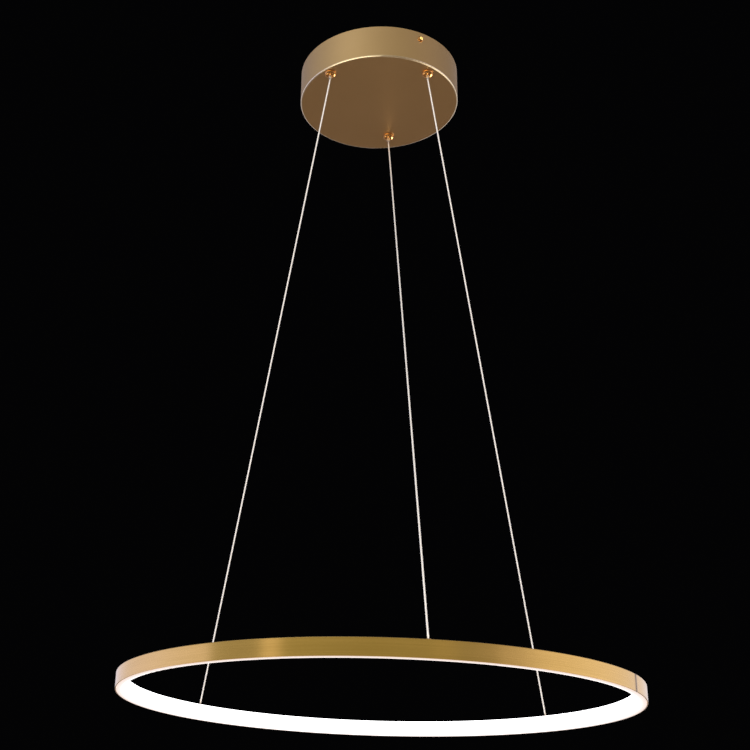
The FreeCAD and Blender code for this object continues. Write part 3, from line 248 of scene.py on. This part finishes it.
def plastic(name, colour, rough, grain=1500.0, grain_bump=0.12, mottled=0.04):
    k = Look(name)
    broad = k.noise(k.place(), 40.0, 3.0)
    k.base(k.ramp(broad, [(0.30, shade(colour, 1 - mottled)), (0.70, shade(colour, 1 + mottled))]))
    k.rough(k.span(k.noise(k.place(), 90.0, 2.0), 0.3, 0.7, rough - 0.04, rough + 0.04))
    k.bump(k.noise(k.place(), grain, 2.0), grain_bump, 0.0002)
    return k


# satin champagne-gold canopy, finely brushed round its wall
k = Look("canopy_satin_gold")
k.const(Metallic=1.0)
co, rad, hgt = k.around()
brushed = k.noise(k.scaled(co, 30.0, 30.0, 2600.0), 1.0, 4.0, 0.6)
cloud = k.noise(k.place(), 14.0, 3.0)
satin = k.ramp(cloud, [(0.30, (0.690, 0.450, 0.195)), (0.70, (0.710, 0.466, 0.206))])
# the lower edge: turned smoother (lower roughness), with a painted highlight as a lighter gold base colour
outer = k.span(rad, 0.1079, 0.1084, 0.0, 1.0)
lower = k.span(hgt, -0.0466, -0.0471, 0.0, 1.0)
turned_edge_painted_highlight = k.math("MULTIPLY", outer, lower)
blend = k.nt.nodes.new("ShaderNodeMix")
blend.data_type = "RGBA"
k.link(turned_edge_painted_highlight, blend.inputs["Factor"])
k.link(satin, blend.inputs["A"])
# painted highlight: pale gold base colour along the lower edge
blend.inputs["B"].default_value = (0.95, 0.765, 0.470, 1.0)
k.base(blend.outputs["Result"])
k.rough(k.math("SUBTRACT", k.span(brushed, 0.3, 0.7, 0.40, 0.45), k.math("MULTIPLY", turned_edge_painted_highlight, 0.10)))
k.bump(brushed, 0.02, 0.0002)
canopy_metal = k.m

# brushed gold channel of the ring
k = Look("ring_brushed_gold")
k.const(Metallic=1.0, Anisotropic=0.85, Anisotropic_Rotation=0.25)
tangent = k.nt.nodes.new("ShaderNodeTangent")
tangent.direction_type, tangent.axis = "RADIAL", "Z"
k.link(tangent.outputs[0], k.p.inputs["Tangent"])
co, rad, hgt = k.around()
lines = k.noise(k.scaled(co, 25.0, 25.0, 5200.0), 1.0, 3.0, 0.65)
long_lines = k.noise(k.scaled(co, 8.0, 8.0, 900.0), 1.0, 2.0, 0.5)
gold = k.ramp(long_lines, [(0.30, (0.720, 0.438, 0.104)), (0.70, (0.810, 0.496, 0.126))])
# painted shade at the two seams: the gold is darkened near where the halves meet
SEAM = math.radians(-28.5)
xyz = k.nt.nodes.new("ShaderNodeSeparateXYZ")
k.link(k.place(), xyz.inputs[0])
off_seam = k.math("ABSOLUTE", k.math("ADD", k.math("MULTIPLY", xyz.outputs[0], -math.sin(SEAM)),
                                     k.math("MULTIPLY", xyz.outputs[1], math.cos(SEAM))))
blend = k.nt.nodes.new("ShaderNodeMix")
blend.data_type = "RGBA"
blend.blend_type = "MULTIPLY"
blend.inputs["Factor"].default_value = 1.0
k.link(gold, blend.inputs["A"])
# painted shade: a dark multiplier on the gold within 5.5 mm of the seams
k.link(k.ramp(k.span(off_seam, 0.0005, 0.0055, 0.0, 1.0), [(0.0, (0.34, 0.31, 0.28)), (0.45, (0.58, 0.54, 0.50)), (1.0, (1.0, 1.0, 1.0))]), blend.inputs["B"])
k.base(blend.outputs["Result"])
k.rough(k.span(lines, 0.3, 0.7, 0.20, 0.27))
k.bump(lines, 0.04, 0.0002)
ring_metal = k.m

# polished copper-gold fittings
polished_gold = metal("polished_copper_gold", (0.860, 0.430, 0.130), 0.13, 1400.0, 0.02, 0.05, 0.05).m
nozzle_metal = metal("polished_pale_gold", (0.930, 0.780, 0.560), 0.40, 1400.0, 0.02, 0.04, 0.05).m
zinc_steel = metal("bright_zinc", (0.620, 0.640, 0.660), 0.30, 1100.0, 0.06, 0.10, 0.12).m
ball_steel = metal("hard_bright_steel", (0.640, 0.645, 0.660), 0.12, 1500.0, 0.01, 0.03, 0.04).m
screw_brass = metal("plain_brass", (0.780, 0.590, 0.270), 0.25, 1200.0, 0.04, 0.08, 0.08).m
tinned = metal("tinned_copper", (0.660, 0.630, 0.600), 0.28, 1300.0, 0.05, 0.10, 0.10).m

# lit opal diffuser: pure white inside, warmer towards its outer edge
k = Look("opal_lit")
co, rad, hgt = k.around()
k.const(Roughness=0.32, Subsurface_Weight=0.0)
glow = k.nt.nodes.new("ShaderNodeMath")
glow.operation = "MULTIPLY"
glow.inputs[1].default_value = 3.0
edge = k.span(rad, 0.2900, 0.2985, 0.0, 1.0)
milk = k.noise(k.place(), 30.0, 3.0)
k.base(k.ramp(milk, [(0.30, (0.560, 0.545, 0.520)), (0.70, (0.600, 0.585, 0.560))]))
k.link(k.ramp(edge, [(0.0, (1.0, 1.0, 1.0)), (0.22, (1.0, 0.95, 0.93)), (0.40, (1.0, 0.88, 0.83)), (1.0, (1.0, 0.85, 0.77))]),
       k.p.inputs["Emission Color"])
k.link(k.ramp(edge, [(0.0, (1.0, 1.0, 1.0)), (0.25, (0.55, 0.55, 0.55)), (0.45, (0.33, 0.33, 0.33)), (1.0, (0.26, 0.26, 0.26))]), glow.inputs[0])
k.link(glow.outputs[0], k.p.inputs["Emission Strength"])
k.bump(k.noise(k.place(), 700.0, 2.0), 0.05, 0.0002)
opal = k.m

# pale jacket over a stranded wire
k = Look("pale_cable_jacket")
uvn = k.nt.nodes.new("ShaderNodeUVMap")
s = k.nt.nodes.new("ShaderNodeSeparateXYZ")
k.link(uvn.outputs[0], s.inputs[0])
twist = k.math("SINE", k.math("MULTIPLY", k.math("ADD", k.math("MULTIPLY", s.outputs[0], 3.0), s.outputs[1]), 2 * math.pi))
k.base(k.ramp(k.span(twist, -1.0, 1.0, 0.0, 1.0), [(0.0, (0.800, 0.720, 0.620)), (0.45, (0.930, 0.875, 0.800)), (1.0, (0.960, 0.920, 0.860))]))
k.rough(k.span(k.noise(k.place(), 200.0, 2.0), 0.3, 0.7, 0.24, 0.34))
k.const(Coat_Weight=0.35, Coat_Roughness=0.12)
k.bump(twist, 0.15, 0.00015)
cable_jacket = k.m

driver_plastic = plastic("moulded_white", (0.780, 0.775, 0.755), 0.50).m
terminal_plastic = plastic("moulded_off_white", (0.820, 0.800, 0.740), 0.42).m
component_plastic = plastic("dark_moulded", (0.045, 0.045, 0.050), 0.45).m

k = Look("solder_mask_green")
tracks = k.nt.nodes.new("ShaderNodeTexVoronoi")
tracks.distance = "MANHATTAN"
tracks.inputs["Scale"].default_value = 260.0
k.link(k.place(), tracks.inputs["Vector"])
k.base(k.ramp(tracks.outputs["Distance"], [(0.20, (0.020, 0.160, 0.060)), (0.60, (0.012, 0.090, 0.035))]))
k.rough(k.span(tracks.outputs["Distance"], 0.0, 0.8, 0.28, 0.40))
k.bump(tracks.outputs["Distance"], 0.15, 0.0002)
board_mask = k.m

k = Look("strip_white_mask")
k.base(k.ramp(k.noise(k.place(), 120.0, 2.0), [(0.3, (0.78, 0.77, 0.74)), (0.7, (0.86, 0.85, 0.83))]))
k.rough(k.span(k.noise(k.place(), 300.0, 2.0), 0.3, 0.7, 0.34, 0.46))
k.bump(k.noise(k.place(), 1200.0, 2.0), 0.08, 0.0002)
strip_mask = k.m

k = Look("led_phosphor")
k.base(k.ramp(k.noise(k.place(), 900.0, 2.0), [(0.3, (0.90, 0.70, 0.20)), (0.7, (0.98, 0.82, 0.32))]))
k.rough(k.span(k.noise(k.place(), 900.0, 2.0), 0.3, 0.7, 0.30, 0.45))
k.const(Emission_Color=(1.0, 0.90, 0.70, 1.0), Emission_Strength=4.0)
led_phosphor = k.m


def two_lead(name, dark, light, period, share):
    """Insulated leads in two colours, split by place along a scale."""
    k = Look(name)
    s = k.nt.nodes.new("ShaderNodeSeparateXYZ")
    k.link(k.place(), s.inputs[0])
    a = math.radians(-61.0)
    v = k.math("ADD", k.math("MULTIPLY", s.outputs[0], -math.sin(a)), k.math("MULTIPLY", s.outputs[1], math.cos(a)))
    k.base(k.ramp(k.span(v, share - 0.0002, share + 0.0002, 0.0, 1.0), [(0.0, dark), (1.0, light)]))
    k.rough(k.span(k.noise(k.place(), 300.0, 2.0), 0.3, 0.7, 0.30, 0.42))
    k.bump(k.noise(k.place(), 900.0, 2.0), 0.06, 0.0002)
    return k.m


mains_lead = two_lead("lead_brown_blue", (0.16, 0.07, 0.03), (0.03, 0.12, 0.45), 0.0, -0.002)
output_lead = two_lead("lead_red_black", (0.55, 0.03, 0.02), (0.03, 0.03, 0.03), 0.0, -0.0101)

k = Look("lead_green_yellow")
s = k.nt.nodes.new("ShaderNodeSeparateXYZ")
k.link(k.place(), s.inputs[0])
stripe = k.math("SINE", k.math("MULTIPLY", k.math("ADD", s.outputs[0], k.math("MULTIPLY", s.outputs[2], 1.3)), 1800.0))
k.base(k.ramp(k.span(stripe, -0.2, 0.2, 0.0, 1.0), [(0.0, (0.05, 0.30, 0.05)), (1.0, (0.80, 0.66, 0.04))]))
k.rough(k.span(k.noise(k.place(), 300.0, 2.0), 0.3, 0.7, 0.30, 0.42))
k.bump(k.noise(k.place(), 900.0, 2.0), 0.06, 0.0002)
earth_lead = k.m

LOOKS = {
    "canopy_metal": canopy_metal, "ring_metal": ring_metal, "polished_gold": polished_gold,
    "nozzle_metal": nozzle_metal, "opal": opal, "cable": cable_jacket, "zinc_steel": zinc_steel,
    "ball_steel": ball_steel, "driver_plastic": driver_plastic, "board": board_mask,
    "components": component_plastic, "terminal_plastic": terminal_plastic, "screw_brass": screw_brass,
    "tinned_copper": tinned, "mains_lead": mains_lead, "output_lead": output_lead,
    "earth_lead": earth_lead, "strip_board": strip_mask, "led_chip": led_phosphor,
}
SLOTS = {s["node"]: s["material_slot"] for s in frame["record"]["subparts"]}
for name, ob in frame["nodes"].items():
    ob.data.materials.clear()
    ob.data.materials.append(LOOKS[SLOTS[name]])

# ------------------------------------------------------- suspension cables
CABLES = {}
for who, (top, low) in CABLE_RUNS.items():
    a, b = (*top, GRIP_MOUTH_Z), (*low, SOCKET_Z)
    piece, length = tube_mesh("cable_" + who, a, b, CABLE_R)
    piece.data.materials.append(cable_jacket)
    CABLES[who] = piece
    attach(piece, "canopy")
    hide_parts("suspension_cable_" + who)
    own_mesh(piece)

# ------------------------ return springs, copied and fixed to the canopy
for who in CABLE_RUNS:
    made = frame["nodes"]["grip_spring_" + who]
    coil = bpy.data.objects.new("spring_" + who, made.data.copy())
    scene.collection.objects.link(coil)
    coil.matrix_world = made.matrix_world.copy()
    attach(coil, "canopy")
    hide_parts("grip_spring_" + who)
    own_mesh(coil)

# ------------------------------------------------------------------- stage
bpy.ops.mesh.primitive_plane_add(size=24.0, location=(0, 0, -2.5))
floor = bpy.context.object
floor.name = "floor"
k = Look("pale_floor")
grainy = k.noise(k.place(), 3.0, 5.0)
k.base(k.ramp(grainy, [(0.3, (0.46, 0.335, 0.240)), (0.7, (0.50, 0.365, 0.260))]))
k.const(Roughness=0.7)
k.bump(k.noise(k.place(), 60.0, 3.0), 0.05, 0.002)
floor.data.materials.append(k.m)


def softbox(name, place, aim, size, radiance, colour=(1, 1, 1), only=None):
    """A soft panel, unseen itself. only: the pieces it lights."""
    data = bpy.data.lights.new(name, "AREA")
    data.shape = "RECTANGLE"
    data.size, data.size_y = size
    data.energy = radiance * math.pi * size[0] * size[1]
    data.color = colour
    ob = bpy.data.objects.new(name, data)
    ob.location = place
    ob.rotation_mode = "QUATERNION"
    ob.rotation_quaternion = (Vector(aim) - Vector(place)).to_track_quat("-Z", "Y")
    ob.visible_camera = False
    scene.collection.objects.link(ob)
    if only:
        lit = bpy.data.collections.new(name + "_lights")
        for piece in only:
            lit.objects.link(piece)
        ob.light_linking.receiver_collection = lit
    return ob


def toward(azimuth, elevation, distance, start=(0.0, 0.0, -0.05)):
    """A place seen from start: azimuth from -Y towards +X, in degrees."""
    a, e = math.radians(azimuth), math.radians(elevation)
    return (start[0] + distance * math.cos(e) * math.sin(a), start[1] - distance * math.cos(e) * math.cos(a),
            start[2] + distance * math.sin(e))


nodes = frame["nodes"]
cup = [nodes["canopy_cup"]]
plungers = [nodes[n] for n in nodes if n.startswith("release_plunger_")]
domes = [nodes[n] for n in nodes if n.startswith("cable_grip_")]
# low panels for the bright line on the canopy's lower edge
for side, turn_to, size, much in (("left", -38, 2.8, 2.2), ("right", 97, 1.4, 1.5)):
    softbox("edge_" + side, toward(turn_to, -34, 2.3), (0, 0, -0.05), (size, 2.0), much, (1.0, 0.96, 0.90), cup)
# front panel for the cables
softbox("cables_front", (-0.5, -2.6, -1.2), (0, 0, -0.45), (3.0, 2.2), 3.8, (1.0, 0.965, 0.92), list(CABLES.values()) + plungers)
# panels behind for the bright spot and the paler patch on the polished fittings
softbox("spark", toward(149, -24, 1.7), (0, 0, -0.06), (0.95, 1.0), 7.0, (1.0, 0.97, 0.90), domes)
softbox("patch", toward(-116, -50, 1.7), (0, 0, -0.06), (1.2, 0.9), 1.1, (1.0, 0.97, 0.95), domes)
softbox("side_screw", toward(60, 36, 1.7), (0, 0, -0.02), (1.2, 1.2), 5.5, (0.85, 1.0, 1.0), [nodes["canopy_side_screws"]])

# studio surroundings: black to the eye, soft bands of light for the metal
world = bpy.data.worlds.new("studio")
scene.world = world
world.use_nodes = True
nt = world.node_tree
nt.nodes.clear()
out = nt.nodes.new("ShaderNodeOutputWorld")
bg = nt.nodes.new("ShaderNodeBackground")
seen = nt.nodes.new("ShaderNodeBackground")
mix = nt.nodes.new("ShaderNodeMixShader")
rays = nt.nodes.new("ShaderNodeLightPath")
nt.links.new(rays.outputs["Is Camera Ray"], mix.inputs[0])
nt.links.new(bg.outputs[0], mix.inputs[1])
nt.links.new(seen.outputs[0], mix.inputs[2])
nt.links.new(mix.outputs[0], out.inputs["Surface"])
seen.inputs["Color"].default_value = (0.0010, 0.0010, 0.0012, 1)
seen.inputs["Strength"].default_value = 1.0
tc = nt.nodes.new("ShaderNodeTexCoord")
sep = nt.nodes.new("ShaderNodeSeparateXYZ")
nt.links.new(tc.outputs["Generated"], sep.inputs[0])


def wmath(op, a, b=None):
    n = nt.nodes.new("ShaderNodeMath")
    n.operation = op
    for i, x in enumerate((a, b)):
        if x is None:
            continue
        if isinstance(x, (int, float)):
            n.inputs[i].default_value = x
        else:
            nt.links.new(x, n.inputs[i])
    return n.outputs[0]


def wramp(fac, stops):
    n = nt.nodes.new("ShaderNodeValToRGB")
    n.color_ramp.interpolation = "EASE"
    e = n.color_ramp.elements
    while len(e) > 1:
        e.remove(e[-1])
    for i, (pos, v) in enumerate(stops):
        s = e[0] if i == 0 else e.new(pos)
        s.position = pos
        s.color = (*(v if isinstance(v, tuple) else (v, v, v)), 1.0)
    nt.links.new(fac, n.inputs["Fac"])
    return n.outputs["Color"]


def wmix(fac, a, b):
    n = nt.nodes.new("ShaderNodeMix")
    n.data_type = "RGBA"
    nt.links.new(fac, n.inputs["Factor"])
    nt.links.new(a, n.inputs["A"])
    nt.links.new(b, n.inputs["B"])
    return n.outputs["Result"]


# azimuth in degrees from -Y (towards +X positive), mapped to 0..1
az = wmath("ARCTAN2", sep.outputs[0], wmath("MULTIPLY", sep.outputs[1], -1.0))
az01 = wmath("ADD", wmath("DIVIDE", az, 2 * math.pi), 0.5)
el01 = wmath("ADD", wmath("MULTIPLY", sep.outputs[2], 0.5), 0.5)


def az_stop(deg):
    return deg / 360.0 + 0.5


def el_stop(deg):
    return math.sin(math.radians(deg)) * 0.5 + 0.5


# low band, which the ring's wall mirrors: dim in front, bright at the sides
LOW = [(-180, (0.80, 0.80, 0.95)), (-140, (0.85, 0.85, 1.10)), (-105, (0.97, 1.02, 1.85)), (-76, (0.95, 0.98, 1.65)),
       (-73, (0.50, 0.52, 0.60)), (-60, (0.41, 0.42, 0.45)), (-50.5, (0.40, 0.41, 0.42)), (-48.5, (0.92, 0.88, 1.00)),
       (-43, (0.88, 0.84, 0.92)), (-40, (0.37, 0.37, 0.26)), (-5, (0.35, 0.35, 0.25)), (20, (0.39, 0.39, 0.31)),
       (23, (0.47, 0.46, 0.38)), (30, (0.46, 0.45, 0.40)), (33, (0.38, 0.38, 0.38)), (46, (0.46, 0.45, 0.50)),
       (52, (0.68, 0.66, 0.82)), (75, (1.05, 1.05, 1.40)), (100, (1.10, 1.12, 1.55)), (140, (0.93, 0.93, 1.10)),
       (180, (0.80, 0.80, 0.95))]
# high lobe, which the canopy's wall mirrors: brightest at the left
HIGH = [(-180, (0.20, 0.24, 0.38)), (-140, (0.22, 0.24, 0.34)), (-100, (0.38, 0.40, 0.45)), (-40, (0.80, 0.84, 0.92)),
        (4, (0.56, 0.56, 0.58)), (30, (0.45, 0.44, 0.43)), (65, (0.36, 0.34, 0.34)), (110, (0.21, 0.20, 0.21)),
        (180, (0.20, 0.24, 0.38))]
low = wramp(az01, [(az_stop(a), v) for a, v in LOW])
high = wramp(az01, [(az_stop(a), v) for a, v in HIGH])
zone = wramp(el01, [(0.0, 0.0), (el_stop(17), 0.0), (el_stop(23), 1.0), (1.0, 1.0)])
tall = wramp(el01, [(0.0, 0.30), (el_stop(-8), 0.55), (el_stop(2), 1.0), (el_stop(48), 1.0), (el_stop(60), 0.25), (1.0, 0.2)])
both = nt.nodes.new("ShaderNodeMix")
both.data_type = "RGBA"
both.blend_type = "MULTIPLY"
both.inputs["Factor"].default_value = 1.0
nt.links.new(wmix(zone, low, high), both.inputs["A"])
nt.links.new(tall, both.inputs["B"])
nt.links.new(both.outputs["Result"], bg.inputs["Color"])
bg.inputs["Strength"].default_value = 1.0
